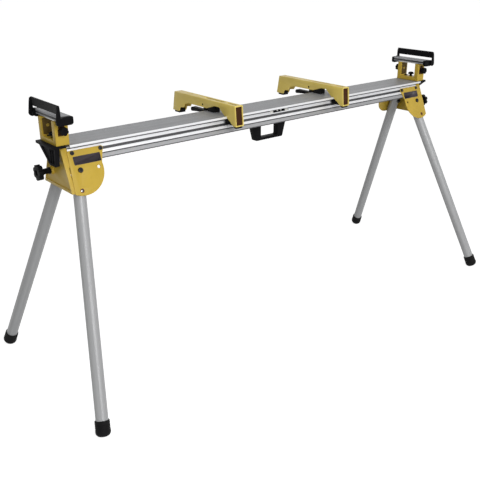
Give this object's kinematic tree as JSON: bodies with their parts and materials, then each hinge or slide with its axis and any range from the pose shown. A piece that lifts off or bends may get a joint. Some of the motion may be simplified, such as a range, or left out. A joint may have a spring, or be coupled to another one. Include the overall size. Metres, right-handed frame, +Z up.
{
  "type": "miter saw stand",
  "caption": "Folding miter saw stand with an aluminium beam on splayed legs, clamp-on saw arms and pull-out extensions with support heads.",
  "frame": {"origin": "on the floor, under the middle of the beam", "axes": "+X along the beam, -Y towards the front, +Z up"},
  "size_m": [1.9132, 0.7304, 0.9233],
  "materials": {
    "beam_aluminium": "satin anodised extrusion",
    "leg_aluminium": "brushed, clear anodised tube",
    "tube_aluminium": "clear anodised tube",
    "yellow_paint": "yellow powder coat, slightly glossy",
    "black_paint": "black powder coat, satin",
    "black_plastic": "black moulded nylon, fine grain",
    "natural_plastic": "dark moulded nylon",
    "black_rubber": "black rubber, matte",
    "zinc_steel": "zinc plated steel",
    "dark_steel": "black oxide steel",
    "label_film": "dark plastic film, bare"
  },
  "bodies": {
    "stand": {"beam_extrusion": "beam_aluminium", "left_leg_bracket": "yellow_paint", "right_leg_bracket": "yellow_paint", "bracket_bolts": "dark_steel", "leg_pivot_bolts": "dark_steel", "label_plates": "label_film", "carry_handle": "black_plastic", "handle_screws": "zinc_steel", "latch_clips": "zinc_steel", "tube_guide_bushes": "natural_plastic", "lock_plates": "zinc_steel"},
    "left_front_leg": {"left_front_leg_tube": "leg_aluminium", "left_front_leg_plug": "black_plastic", "left_front_foot": "black_rubber"},
    "left_front_button": {"left_front_snap_button": "zinc_steel"},
    "left_rear_leg": {"left_rear_leg_tube": "leg_aluminium", "left_rear_leg_plug": "black_plastic", "left_rear_foot": "black_rubber"},
    "left_rear_button": {"left_rear_snap_button": "zinc_steel"},
    "right_front_leg": {"right_front_leg_tube": "leg_aluminium", "right_front_leg_plug": "black_plastic", "right_front_foot": "black_rubber"},
    "right_front_button": {"right_front_snap_button": "zinc_steel"},
    "right_rear_leg": {"right_rear_leg_tube": "leg_aluminium", "right_rear_leg_plug": "black_plastic", "right_rear_foot": "black_rubber"},
    "right_rear_button": {"right_rear_snap_button": "zinc_steel"},
    "left_extension": {"left_extension_tube": "tube_aluminium", "left_tube_slider": "natural_plastic", "left_end_casting": "black_paint", "left_head_frame": "yellow_paint", "left_base_bolts": "dark_steel"},
    "left_head": {"left_head_riser": "zinc_steel", "left_support_shelf": "beam_aluminium", "left_shelf_caps": "black_plastic"},
    "left_stop": {"left_flip_stop": "black_plastic"},
    "left_lock": {"left_lock_knob": "black_plastic"},
    "left_front_knob": {"left_front_height_knob": "black_plastic"},
    "left_rear_knob": {"left_rear_height_knob": "black_plastic"},
    "right_extension": {"right_extension_tube": "tube_aluminium", "right_tube_slider": "natural_plastic", "right_end_casting": "black_paint", "right_head_frame": "yellow_paint", "right_base_bolts": "dark_steel"},
    "right_head": {"right_head_riser": "zinc_steel", "right_support_shelf": "beam_aluminium", "right_shelf_caps": "black_plastic"},
    "right_stop": {"right_flip_stop": "black_plastic"},
    "right_lock": {"right_lock_knob": "black_plastic"},
    "right_front_knob": {"right_front_height_knob": "black_plastic"},
    "right_rear_knob": {"right_rear_height_knob": "black_plastic"},
    "left_arm": {"left_saw_arm": "yellow_paint", "left_arm_pads": "black_rubber", "left_arm_jaw": "black_plastic"},
    "left_lever": {"left_arm_lever": "black_plastic"},
    "right_arm": {"right_saw_arm": "yellow_paint", "right_arm_pads": "black_rubber", "right_arm_jaw": "black_plastic"},
    "right_lever": {"right_arm_lever": "black_plastic"}
  },
  "joints": [
    {"name": "left_front_leg_fold", "type": "hinge", "parent": "stand", "child": "left_front_leg", "pos_m": [-0.79353, -0.04715, 0.7137], "axis": [0, -0.9205, 0.3907], "range_deg": [0, 100.5]},
    {"name": "left_front_button_press", "type": "slide", "parent": "left_front_leg", "child": "left_front_button", "axis": [0, 0.9205, -0.3907], "range_m": [0, 0.004], "stiffness_N_per_m": 800},
    {"name": "left_rear_leg_fold", "type": "hinge", "parent": "stand", "child": "left_rear_leg", "pos_m": [-0.79353, 0.04715, 0.7137], "axis": [0, -0.9205, -0.3907], "range_deg": [0, 100.5]},
    {"name": "left_rear_button_press", "type": "slide", "parent": "left_rear_leg", "child": "left_rear_button", "axis": [0, -0.9205, -0.3907], "range_m": [0, 0.004], "stiffness_N_per_m": 800},
    {"name": "right_front_leg_fold", "type": "hinge", "parent": "stand", "child": "right_front_leg", "pos_m": [0.79353, -0.04715, 0.7137], "axis": [0, 0.9205, -0.3907], "range_deg": [0, 100.5]},
    {"name": "right_front_button_press", "type": "slide", "parent": "right_front_leg", "child": "right_front_button", "axis": [0, 0.9205, -0.3907], "range_m": [0, 0.004], "stiffness_N_per_m": 800},
    {"name": "right_rear_leg_fold", "type": "hinge", "parent": "stand", "child": "right_rear_leg", "pos_m": [0.79353, 0.04715, 0.7137], "axis": [0, 0.9205, 0.3907], "range_deg": [0, 100.5]},
    {"name": "right_rear_button_press", "type": "slide", "parent": "right_rear_leg", "child": "right_rear_button", "axis": [0, -0.9205, -0.3907], "range_m": [0, 0.004], "stiffness_N_per_m": 800},
    {"name": "left_extension_slide", "type": "slide", "parent": "stand", "child": "left_extension", "axis": [-1, 0, 0], "range_m": [-0.01, 1.04]},
    {"name": "left_lock_knob_turn", "type": "hinge", "parent": "stand", "child": "left_lock", "pos_m": [-0.87223, 0.034, 0.708], "axis": [-1, 0, 0], "continuous": true},
    {"name": "left_head_raise", "type": "slide", "parent": "left_extension", "child": "left_head", "axis": [0, 0, 1], "range_m": [0, 0.032]},
    {"name": "left_stop_flip", "type": "hinge", "parent": "left_head", "child": "left_stop", "pos_m": [-0.85353, 0, 0.8763], "axis": [0, -1, 0], "range_deg": [0, 90]},
    {"name": "left_front_knob_turn", "type": "hinge", "parent": "left_extension", "child": "left_front_knob", "pos_m": [-0.83313, -0.066, 0.845], "axis": [0, -1, 0], "continuous": true},
    {"name": "left_rear_knob_turn", "type": "hinge", "parent": "left_extension", "child": "left_rear_knob", "pos_m": [-0.83313, 0.066, 0.845], "axis": [0, 1, 0], "continuous": true},
    {"name": "right_extension_slide", "type": "slide", "parent": "stand", "child": "right_extension", "axis": [1, 0, 0], "range_m": [0, 1.05]},
    {"name": "right_lock_knob_turn", "type": "hinge", "parent": "stand", "child": "right_lock", "pos_m": [0.87223, -0.034, 0.708], "axis": [1, 0, 0], "continuous": true},
    {"name": "right_head_raise", "type": "slide", "parent": "right_extension", "child": "right_head", "axis": [0, 0, 1], "range_m": [0, 0.032]},
    {"name": "right_stop_flip", "type": "hinge", "parent": "right_head", "child": "right_stop", "pos_m": [0.84353, 0, 0.8763], "axis": [0, 1, 0], "range_deg": [0, 90]},
    {"name": "right_front_knob_turn", "type": "hinge", "parent": "right_extension", "child": "right_front_knob", "pos_m": [0.82313, -0.066, 0.845], "axis": [0, -1, 0], "continuous": true},
    {"name": "right_rear_knob_turn", "type": "hinge", "parent": "right_extension", "child": "right_rear_knob", "pos_m": [0.82313, 0.066, 0.845], "axis": [0, 1, 0], "continuous": true},
    {"name": "left_arm_slide", "type": "slide", "parent": "stand", "child": "left_arm", "axis": [1, 0, 0], "range_m": [-0.458, 0.192]},
    {"name": "left_lever_squeeze", "type": "hinge", "parent": "left_arm", "child": "left_lever", "pos_m": [-0.222, 0.074, 0.82], "axis": [1, 0, 0], "range_deg": [0, 16], "stiffness_Nm_per_rad": 4, "springref_deg": -5.73},
    {"name": "right_arm_slide", "type": "slide", "parent": "stand", "child": "right_arm", "axis": [1, 0, 0], "range_m": [-0.268, 0.382]},
    {"name": "right_lever_squeeze", "type": "hinge", "parent": "right_arm", "child": "right_lever", "pos_m": [0.298, 0.074, 0.82], "axis": [1, 0, 0], "range_deg": [0, 16], "stiffness_Nm_per_rad": 4, "springref_deg": -5.73}
  ]
}
